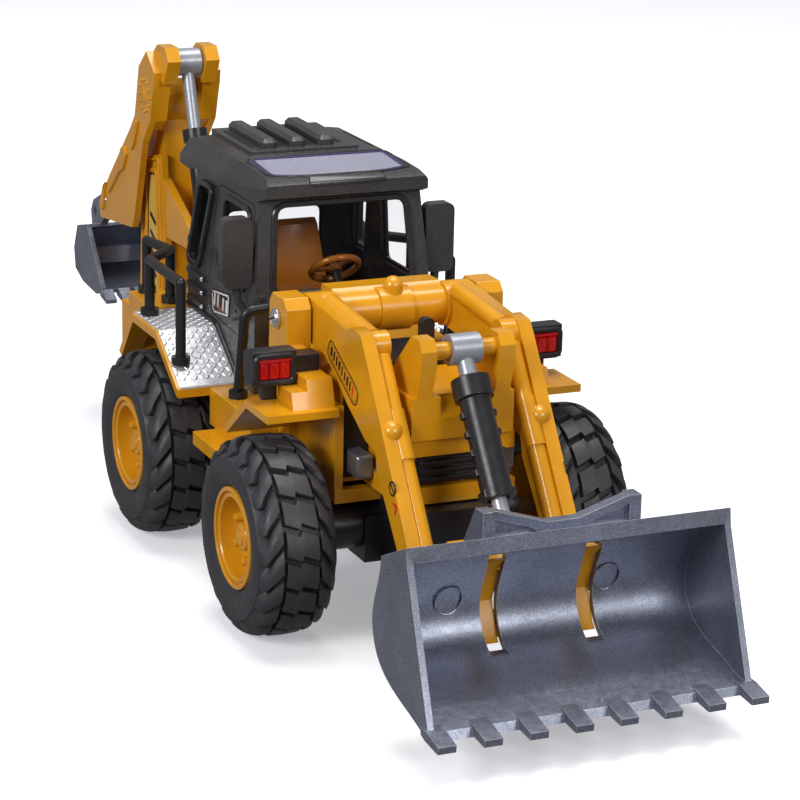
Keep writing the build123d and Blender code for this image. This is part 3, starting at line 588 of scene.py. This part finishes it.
DECK_LINE = [(61, 48), (62.2, 48), (80, 59.5), (110, 59.5)]
ROOF_LINE = [(49.2, 105.2), (52, 106.5), (74, 108.2), (104, 108.6), (112.6, 106)]
ROOF_CROWN_Z, ROOF_CROWN_HALF, ROOF_FALL = 108.8, 16.0, 1.6 / 5.8      # the roof falls beside its crown
PAD_LINE = [(75, 109.2), (107, 109.6)]
BOWL_LINE = [(18.1, -81.4), (21.9, -75.0), (29, -72.2), (38.2, -75.0), (44.0, -76.8)]


def on_deck(x, y, h):
    """Heights stand up from the chequer plates."""
    return at(x, y, along(DECK_LINE, y) + h)


def on_roof(x, y, h):
    """Heights stand up from the crowned roof."""
    crown = ROOF_CROWN_Z - max(0.0, abs(x) - ROOF_CROWN_HALF) * ROOF_FALL
    return at(x, y, min(along(ROOF_LINE, y), crown) + h)


def on_pad(x, y, h):
    """Heights stand up from the roof's raised pad."""
    return at(x, y, along(PAD_LINE, y) + h)


def in_bowl(x, z, h):
    """Heights stand forwards from the inside of the loader bucket's back."""
    return at(x, along(BOWL_LINE, z) - h, z)


# ---- cab ------------------------------------------------------------------------------
BOTH = (("left", LEFT), ("right", RIGHT))
DOOR_PANE = [(59.5, 74), (81, 74), (79.2, 96.5), (59.5, 96.5)]
QUARTER_PANE = [(94.2, 73.6), (102.2, 73.6), (97.8, 96.4), (87.9, 96.4)]
FRONT_SCREEN = [(-20.6, 74.8), (20.6, 74.8), (19.0, 98.8), (-19.0, 98.8)]
REAR_SCREEN = rectangle(-14.8, 72, 14.8, 86.4)
LOUVRE_MIDDLES_Z = (62.25, 66.25, 70.25)
DOOR_BUTTONS = ((64.6, 67.4), (64.2, 65.4), (66.2, 64.6), (62.6, 63.6), (85.6, 61.2), (87.6, 70.6))
DECK_SEAL = [(104.2, 60.2), (95, 60.3), (87, 60.2), (81, 59.9), (77, 57.6), (72, 54.4), (67, 51.2),
             (62.6, 48.6)]
SKYLIGHT = [(-19.6, 55.6), (-14, 53.8), (-7, 52.9), (7, 52.9), (14, 53.8), (19.6, 55.6), (19.6, 71),
            (-19.6, 71)]
# Near-black strips between the scoops are painted shade in the gaps.
SCOOPS_X, SHADED_GAPS_X = (-11.5, -3.0, 5.5), (-7.25, 1.25)
SIDE_SLOTS = ((-15.6, 80, 103), (10.2, 80, 103), (19.6, 78, 100))      # x, and the ends in y
PAD_HALF = 14


def window_frames():
    """Raised rounded frames round every window."""
    frames = Shape()
    frames.border(rounded(grown(FRONT_SCREEN, -0.7), 2.6), 1.7, on_cab_front, -0.4, 0.75, 0.3)
    frames.border(rounded(grown(REAR_SCREEN, -0.6), 2.2), 1.5, on_cab_rear, -0.4, 0.6, 0.25)
    for _, side in BOTH:
        frames.border(rounded(grown(DOOR_PANE, -0.9), 2.0), 1.7, on_cab_side(side), -0.4, 0.6, 0.25)
        frames.border(rounded(grown(QUARTER_PANE, -0.5), 1.8), 1.7, on_cab_side(side), -0.4, 1.5, 0.35)
    frames.build("window_frames", "root", "cab_plastic", EXTRAS["frame_black"])


def cab_seams():
    """Dark seams round the doors and panels, and the seal over the deck."""
    seams, seal = Shape(), Shape()
    door = rounded([(55.2, 60.6), (84.6, 62.2), (86.4, 74), (85.2, 98.4), (56.6, 98.4)], 2.4)
    for _, side in BOTH:
        place = on_cab_side(side)
        seams.border(door, 0.35, place, -0.2, 0.06, 0.05)
        seams.slab(strip((52.4, 50), (52.6, 72), 0.4), place, -0.2, 0.06, 0.04)
        seal.tube([at(side * (CAB_SIDE_X + 0.1), y, z) for y, z in smooth_line(DECK_SEAL, 4)], 0.75)
    seams.build("cab_seams", "root", "cab_plastic", EXTRAS["seam_and_shade_black"])
    seal.build("deck_seals", "root", "black_plastic", MATERIALS["black_plastic"])


def cab_buttons():
    """Bright rivets at the ends of the louvres and small buttons on the doors."""
    rivets, buttons = Shape(), Shape()
    for _, side in BOTH:
        place = on_cab_side(side)
        for z in LOUVRE_MIDDLES_Z:
            rivets.dome(90.4, z, 0.75, place, 0.3, 1.5)
        for y, z in DOOR_BUTTONS:
            buttons.dome(y, z, 0.4, place, -0.2, 0.5)
    rivets.build("louvre_rivets", "root", "cab_plastic", MATERIALS["steel"])
    buttons.build("door_buttons", "root", "cab_plastic", EXTRAS["frame_black"])


def cab_badge():
    """Generic badge: a white-bordered black shield with slanted bars and a red wedge."""
    plate, lines, wedge = Shape(), Shape(), Shape()
    shield = rounded([(70.2, 63.9), (83.0, 62.2), (84.0, 69.2), (69.4, 70.9)], 0.9)
    for _, side in BOTH:
        place = on_cab_side(side)
        plate.slab(shield, place, -0.2, 0.22, 0.05)
        lines.border(grown(shield, -0.9), 0.5, place, 0.1, 0.3, 0.05)
        for y in (81.6, 78.9, 74.8, 72.1):
            lines.slab(strip((y, 64.9), (y - 0.7, 68.6), 1.2), place, 0.1, 0.3, 0.05)
        wedge.slab([(75.7, 64.4), (78.1, 64.2), (76.9, 66.3)], place, 0.1, 0.32, 0.05)
    plate.build("badge_plate", "root", "cab_plastic", EXTRAS["decal_black"])
    lines.build("badge_lines", "root", "cab_plastic", EXTRAS["decal_white"])
    wedge.build("badge_wedge", "root", "cab_plastic", EXTRAS["decal_red"])


def roof_details():
    """Skylight outline, brow over the screen, scoops with near-black strips between them, and near-black side
    slots; the strips and slots are painted shade.
    """
    outline, trim, scoops, shaded_gaps = Shape(), Shape(), Shape(), Shape()
    brow = [(-11.2, 49.05), (11.6, 49.05), (10.2, 52.6), (-9.8, 52.6)]
    outline.border(rounded(grown(SKYLIGHT, -0.5), 1.2), 0.6, on_roof, -0.7, 0.1, 0.08)
    trim.border(rounded(grown(SKYLIGHT, 0.9), 1.6), 0.7, on_roof, -0.4, 0.35, 0.15)
    trim.slab(rounded(brow, 0.8), on_roof, -0.8, 0.45, 0.25)
    for x in SCOOPS_X:
        scoops.slab(rounded(strip((x, 77.6), (x, 105), 5.0), 1.6), on_pad, -0.3, 2.5, 1.0)
    # Painted shade: near-black strips between the scoops and along the side slots.
    for x in SHADED_GAPS_X:
        shaded_gaps.slab(rounded(strip((x, 78.5), (x, 104.5), 3.2), 0.8), on_pad, -0.3, 0.12, 0.05)
    for x, start, end in SIDE_SLOTS:
        place = on_pad if x < PAD_HALF else on_roof
        shaded_gaps.slab(rounded(strip((x, start), (x, end), 1.3), 0.5), place, -0.3, 0.1, 0.05)
    scoops.build("roof_scoops", "root", "cab_plastic", MATERIALS["cab_plastic"])
    outline.build("skylight_outline", "root", "skylight_plastic", EXTRAS["skylight_edge"])
    trim.build("roof_trim", "root", "cab_plastic", EXTRAS["frame_black"])
    shaded_gaps.build("roof_shaded_gaps", "root", "cab_plastic", EXTRAS["seam_and_shade_black"])


def mirror_faces():
    """Bright faces on the rear of the wing mirrors, each with a raised border."""
    glass, borders = Shape(), Shape()
    for _, side in BOTH:
        def place(x, z, h):
            return at(x, MIRROR_REAR_Y + h, z)
        face = rounded(rectangle(side * 26.4, 78, side * 33.0, 94.6), 1.6)
        glass.slab(face, place, -0.3, 0.15, 0.08)
        borders.border(face, 0.7, place, -0.3, 0.3, 0.15)
    glass.build("mirror_glass", "root", "black_plastic", EXTRAS["mirror_glass"])
    borders.build("mirror_rims", "root", "black_plastic", MATERIALS["black_plastic"])


BUMP_START = Vector((27.6, 64.4))
BUMP_PITCH = Vector((1.68, 1.58))
BUMP_ROWS, BUMP_COLUMNS = 23, 10
BUMP_HALF_LENGTH, BUMP_HALF_WIDTH = 1.02, 0.36
BUMP_RINGS = ((1, -0.05), (0.82, 0.2), (0.4, 0.3))                     # share of the size, and height


def chequer_plates():
    """Raised lens-shaped bumps in a basket pattern on both deck plates."""
    bumps = Shape()
    for _, side in BOTH:
        for row in range(BUMP_ROWS):
            for column in range(BUMP_COLUMNS):
                here = BUMP_START + Vector((BUMP_PITCH.x * column, BUMP_PITCH.y * row))
                lean = 1 if (row + column) % 2 else -1
                run = Vector((0.72 * lean, 0.69)) * BUMP_HALF_LENGTH
                across = Vector((-0.69, 0.72 * lean)) * BUMP_HALF_WIDTH
                bumps.loft([[on_deck(side * (here + p * share).x, (here + p * share).y, h)
                             for p in (-run, across, run, -across)] for share, h in BUMP_RINGS], caps=True)
    bumps.build("chequer_bumps", "root", "bright_plate", MATERIALS["bright_plate"])


# ---- lamps and hood ---------------------------------------------------------------------
LENS_LEFT, LENS_RIGHT, LENS_LOW, LENS_HIGH = 33.5, 42.1, 65.5, 71.0
LENS_PITCH = 2.87


def lamp_fronts():
    """Rounded black bezels and ribbed red lenses."""
    bezels, lenses = Shape(), Shape()
    for _, side in BOTH:
        place = facing_front(LAMP_FRONT_Y, side)
        opening = rounded(rectangle(LENS_LEFT, LENS_LOW, LENS_RIGHT, LENS_HIGH), 0.6)
        bezels.border(opening, 1.55, place, -0.6, 0.9, 0.45)
        for k in range(3):
            start = LENS_LEFT + LENS_PITCH * k
            segment = rectangle(start + 0.08, LENS_LOW + 0.1, start + LENS_PITCH - 0.08, LENS_HIGH - 1.0)
            lenses.slab(rounded(segment, 0.3), place, -0.6, 0.5, 0.35)
        top_bar = rectangle(LENS_LEFT, LENS_HIGH - 0.9, LENS_RIGHT, LENS_HIGH - 0.1)
        lenses.slab(rounded(top_bar, 0.3), place, -0.6, 0.7, 0.2)
    bezels.build("lamp_bezels", "root", "black_plastic", MATERIALS["black_plastic"])
    piece = lenses.build("lamp_lens_ribs", "root", "red_lens", MATERIALS["red_lens"])
    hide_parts("lamp_lenses")


def hinge_buttons():
    """Bright domed heads of the loader arms' hinge pins, each with a near-black strip across as the painted
    shade of a slot.
    """
    heads, slot_shades = Shape(), Shape()
    for _, side in BOTH:
        place = on_side(UPRIGHT_SIDE_X, side)
        heads.dome(21, 77, 2.3, place, 0, 1.2)
        # Painted shade: a near-black strip stands for the shadow inside the slot.
        slot_shades.slab(strip((19.6, 77.6), (22.4, 76.4), 0.5), place, 0.6, 1.24, 0.04)
    heads.build("hinge_heads", "root", "steel", MATERIALS["steel"])
    slot_shades.build("hinge_slot_shades", "root", "steel", EXTRAS["seam_and_shade_black"])


def hood_recesses():
    """Black panels in the front of the hood beside the nose, with a grey lamp block in each."""
    panels, lamps = Shape(), Shape()
    for _, side in BOTH:
        place = facing_front(HOOD_FRONT_Y, side)
        panels.slab(rounded(rectangle(14.2, 39.4, 21.4, 61.5), 0.4), place, -0.3, 0.2, 0.1)
        lamps.slab(rounded(rectangle(16.2, 41.2, 20.8, 47.4), 0.9), place, -0.3, 8.4, 0.5)
    panels.build("hood_recesses", "root", "black_plastic", MATERIALS["black_plastic"])
    lamps.build("hood_lamp_blocks", "root", "bucket_metal", MATERIALS["bucket_metal"])


# ---- loader arms and tilt cylinder -----------------------------------------------------------
OVAL_TOP, OVAL_LOW = Vector((4.0, 73.6)), Vector((-15.8, 64.2))
OVAL_WIDTH = 5.8
OVAL_BARS, FIRST_BAR, BAR_PITCH = 9, 2.6, 1.95


def arm_decals():
    """Generic markings on the arms: a long oval with slanted bars and a small round sign."""
    black, pale, red = Shape(), Shape(), Shape()
    run = (OVAL_LOW - OVAL_TOP).normalized()
    across = Vector((-run.y, run.x))
    oval = rounded(strip(OVAL_TOP, OVAL_LOW, OVAL_WIDTH), 2.7)
    for _, side in BOTH:
        place = on_side(ARM_SIDE_X, side)
        pale.slab(oval, place, -0.2, 0.08, 0.03)
        black.border(grown(oval, -0.55), 0.5, place, 0.0, 0.14, 0.04)
        black.border(grown(oval, -1.15), 0.16, place, 0.0, 0.12, 0.03)
        for k in range(OVAL_BARS):
            here = OVAL_TOP + run * (FIRST_BAR + BAR_PITCH * k)
            half = across * 1.25 + run * 0.3
            bar = strip(here - half, here + half, 0.95 if k % 3 else 1.3)
            (red if k == OVAL_BARS - 1 else black).slab(bar, place, 0.0, 0.13, 0.03)
        black.border(circle(-38.4, 48.2, 1.5), 0.45, place, -0.2, 0.12, 0.04)
        black.slab(strip((-39.4, 47.2), (-37.4, 49.2), 0.5), place, -0.2, 0.12, 0.04)
        red.slab([(-40.8, 44.4), (-41.6, 44.4), (-40.6, 42.0), (-40.0, 42.4)], place, -0.2, 0.12, 0.03)
        red.slab([(-38.9, 44.9), (-41.4, 44.9), (-41.6, 44.2), (-39.1, 44.2)], place, -0.2, 0.12, 0.03)
    black.build("arm_marks", "loader_arms", "yellow_plastic", EXTRAS["decal_black"])
    pale.build("arm_ovals", "loader_arms", "yellow_plastic", MATERIALS["yellow_plastic"])
    red.build("arm_red_marks", "loader_arms", "yellow_plastic", EXTRAS["decal_red"])


TILT_TOP, TILT_LOW = Vector((-26.5, 78.5)), Vector((-61.8, 30.0))
NUB_DISTANCES = (17.5, 22.5, 27.5, 32.5)                               # from the top pivot


def on_tilt(side):
    """Heights stand out sideways from the tilt cylinder; loops are (distance along, offset)."""
    run = (TILT_LOW - TILT_TOP).normalized()
    across = Vector((-run.y, run.x))

    def place(distance, offset, h):
        here = TILT_TOP + run * distance + across * offset
        return at(side * h, here.x, here.y)
    return place


def barrel_nubs():
    """Small blocks down both sides of the black barrel and a pad on each side of its mouth."""
    nubs = Shape()
    for _, side in BOTH:
        place = on_tilt(side)
        for distance in NUB_DISTANCES:
            nub = rectangle(distance - 0.9, -1.1, distance + 0.9, 1.1)
            nubs.slab(rounded(nub, 0.3), place, 3.0, 4.7, 0.2)
        nubs.slab(rounded(rectangle(37.2, -2.3, 39.5, 2.3), 0.4), place, 2.6, 4.3, 0.2)
    nubs.build("barrel_nubs", "tilt_cylinder", "black_plastic", MATERIALS["black_plastic"])


# ---- backhoe ------------------------------------------------------------------------------
STICK_HINGE = (148, 112)
DOTS, DOT_CENTRE, DOT_CIRCLE = 12, (147.3, 112.2), 4.7
STICK_RIB = [(152.4, 103.6), (155.6, 103.2), (158.8, 97.6), (160.6, 94.6), (158.6, 93.4), (156.2, 96.2)]
STICK_WEDGE = [(163.6, 91.2), (165.2, 93.4), (168.4, 92.8), (170.8, 89.4), (183.2, 76.2), (181.6, 75.4),
               (170.6, 84.6), (167.6, 85.6)]
STICK_HOOK = [(184.4, 78.6), (186.6, 77.4), (189.8, 71.6), (189.2, 68.8), (187.0, 69.2), (186.4, 73.4)]
BOOM_BORDER = [(143.2, 50.6), (162.8, 50.6), (160.2, 89.6), (147.2, 92.4)]
BOOM_PANEL = [(147.6, 52), (157.6, 52), (156.6, 86.6), (150.2, 87.6)]
PANEL_BARS, PANEL_BAR_PITCH = 4, 5.4


def on_backhoe(half, side):
    """Heights stand outwards from a cheek of the boom or stick; loops are (y, z)."""
    return lambda y, z, h: at(BOOM_X + side * (half + h), y, z)


def stick_details():
    """Ring of dots round the stick's hinge, a cap over it and raised ribs down the cheeks."""
    relief = Shape()
    for _, side in BOTH:
        place = on_backhoe(STICK_HALF, side)
        for y, z in circle(*DOT_CENTRE, DOT_CIRCLE, DOTS):
            relief.dome(y, z, 0.62, place, -0.2, 0.6)
        relief.dome(*STICK_HINGE, 2.5, place, -0.2, 0.55)
        for loop in (STICK_RIB, STICK_WEDGE, STICK_HOOK):
            relief.slab(rounded(loop, 0.7, 3), place, -0.2, 0.85, 0.3)
    relief.build("stick_relief", "stick_arm", "yellow_plastic")


def boom_details():
    """Raised borders round the boom's cheeks with a slim generic panel in each."""
    borders, edges, panels = Shape(), Shape(), Shape()
    for _, side in BOTH:
        place = on_backhoe(BOOM_HALF, side)
        borders.border(rounded(BOOM_BORDER, 0.8), 0.9, place, -0.2, 0.7, 0.3)
        borders.border(rounded(grown(BOOM_PANEL, 0.5), 0.8), 1.3, place, -0.2, 0.6, 0.3)
        edges.border(rounded(grown(BOOM_PANEL, -0.2), 0.6), 0.4, place, -0.1, 0.14, 0.04)
        panels.slab(rounded(grown(BOOM_PANEL, -0.4), 0.6), place, -0.2, 0.08, 0.03)
        for k in range(PANEL_BARS):
            up = PANEL_BAR_PITCH * k
            bar = strip((149.8 + 0.1 * k, 56 + up), (155.6 - 0.1 * k, 58.6 + up), 1.5)
            edges.slab(bar, place, 0.0, 0.13, 0.03)
    borders.build("boom_borders", "boom_arm", "yellow_plastic")
    edges.build("boom_panel_lines", "boom_arm", "yellow_plastic", EXTRAS["decal_black"])
    panels.build("boom_panels", "boom_arm", "yellow_plastic", EXTRAS["decal_pale"])


BUCKET_RINGS = ((-23.6, 31.4), (18.1, 32.2))


def bucket_marks():
    """Moulding rings inside the loader bucket."""
    rings = Shape()
    for x, z in BUCKET_RINGS:
        rings.border(circle(x, z, 3.3, 28), 0.35, in_bowl, -0.2, 0.22, 0.08)
    rings.build("bucket_rings", "loader_bucket", "bucket_metal", MATERIALS["bucket_metal"])


# ---- stage ------------------------------------------------------------------------
FLOOR_HALF = 9.0                                   # metres


def add_floor():
    """Large pale floor."""
    corners = [(x, y, 0) for x, y in rectangle(-FLOOR_HALF, -FLOOR_HALF, FLOOR_HALF, FLOOR_HALF)]
    mesh = bpy.data.meshes.new("floor")
    mesh.from_pydata(corners, [], [(0, 1, 2, 3)])
    floor = bpy.data.objects.new("floor", mesh)
    bpy.context.scene.collection.objects.link(floor)
    material, _, principled = shader("pale_floor")
    principled.inputs["Base Color"].default_value = (0.9, 0.905, 0.92, 1)
    principled.inputs["Roughness"].default_value = 0.55
    principled.inputs["Emission Color"].default_value = (0.95, 0.96, 1.0, 1)
    principled.inputs["Emission Strength"].default_value = 0.36
    mesh.materials.append(material)
    floor.visible_glossy = False
    floor.visible_diffuse = False


def add_light(name, place, aim, size, power):
    """A square soft box, placed and sized in metres."""
    data = bpy.data.lights.new(name, "AREA")
    data.size = size
    data.energy = power
    light = bpy.data.objects.new(name, data)
    bpy.context.scene.collection.objects.link(light)
    light.location = place
    light.rotation_mode = "QUATERNION"
    light.rotation_quaternion = (Vector(aim) - Vector(place)).to_track_quat("-Z", "Y")


def add_lights():
    """Plain soft studio light."""
    add_light("top_box", (0.15, 0.1, 1.3), (0, 0, 0.05), 0.8, 14)
    add_light("left_box", (-1.15, -0.55, 0.75), (0, 0, 0.06), 0.55, 13)
    add_light("front_box", (0.35, -1.5, 0.8), (0, -0.05, 0.05), 0.5, 9)
    world = bpy.data.worlds.new("studio")
    world.use_nodes = True
    background = world.node_tree.nodes["Background"]
    background.inputs["Color"].default_value = (0.95, 0.96, 1.0, 1)
    background.inputs["Strength"].default_value = 0.26
    bpy.context.scene.world = world
    bpy.context.scene.view_settings.view_transform = "Standard"


CAMERA_AZIMUTH, CAMERA_ELEVATION, CAMERA_ROLL = -23.829, 16.699, 1.258         # degrees
CAMERA_PLACE = (-288.57, -642.23, 268.78)
CAMERA_LENS, CAMERA_SENSOR = 127.95, 36
CAMERA_NEAR, CAMERA_FAR = 0.01, 50                                            # metres


def add_camera():
    """Camera at the height, distance and slight roll of the reference view."""
    data = bpy.data.cameras.new("camera")
    data.lens = CAMERA_LENS
    data.sensor_width = CAMERA_SENSOR
    camera = bpy.data.objects.new("camera", data)
    bpy.context.scene.collection.objects.link(camera)
    azimuth, elevation = math.radians(CAMERA_AZIMUTH), math.radians(CAMERA_ELEVATION)
    ahead = Vector((-math.sin(azimuth) * math.cos(elevation), math.cos(azimuth) * math.cos(elevation),
                    -math.sin(elevation)))
    camera.location = at(*CAMERA_PLACE)
    camera.rotation_mode = "QUATERNION"
    roll = Quaternion((0, 0, 1), math.radians(CAMERA_ROLL))
    camera.rotation_quaternion = ahead.to_track_quat("-Z", "Y") @ roll
    data.clip_start = CAMERA_NEAR
    data.clip_end = CAMERA_FAR
    bpy.context.scene.camera = camera


# ---- assembly ---------------------------------------------------------------------
for end in ("front", "rear"):
    for word, side in BOTH:
        tyre(f"{end}_{word}_tyre", side)
        rim(f"{end}_{word}_rim", side)

EDGE_WIDTH = {
    "rear_deck": 0.5, "step_deck": 0.5, "front_fenders": 0.4, "nose_housing": 0.5, "loader_uprights": 0.5,
    "rear_frame": 0.4, "left_loader_arm": 0.5, "right_loader_arm": 0.5, "torque_tube": 0.3,
    "bucket_coupler": 0.3, "shift_carriage": 0.4, "swing_frame": 0.4, "boom": 0.4, "stick": 0.4,
    "hood_cover": 0.3, "work_lamps": 0.6, "cab_shell": 0.4, "cab_roof": 0.5, "mirrors": 1.0,
    "radiator_grille": 0.2, "headlamps": 0.4, "left_leg": 0.4, "right_leg": 0.4, "dashboard": 0.5,
    "seat": 0.8, "chassis_frame": 0.5, "tilt_cylinder_barrel": 0.3, "tilt_cylinder_eye": 0.3,
    "tilt_cylinder_rod": 0.25,
    "stick_cylinder_barrel": 0.25, "stick_cylinder_rod": 0.25, "skylight": 0.2, "steering_wheel": 0.2,
    "loader_hinge_pins": 0.3, "stick_pins": 0.3,
}
for node, width in EDGE_WIDTH.items():
    polished(node, width)
polished("front_bucket", 0.45, "bucket_edge")
polished("rear_bucket", 0.35, "bucket_edge")

for add_details in (window_frames, cab_seams, cab_buttons, cab_badge, roof_details, mirror_faces,
                    chequer_plates, lamp_fronts, hinge_buttons, arm_decals, barrel_nubs, stick_details,
                    boom_details, bucket_marks, hood_recesses):
    add_details()

for node, holder in frame["nodes"].items():
    for slot in holder.material_slots:
        slot.material = MATERIALS[SLOT_OF[node]]

add_floor()
add_lights()
add_camera()
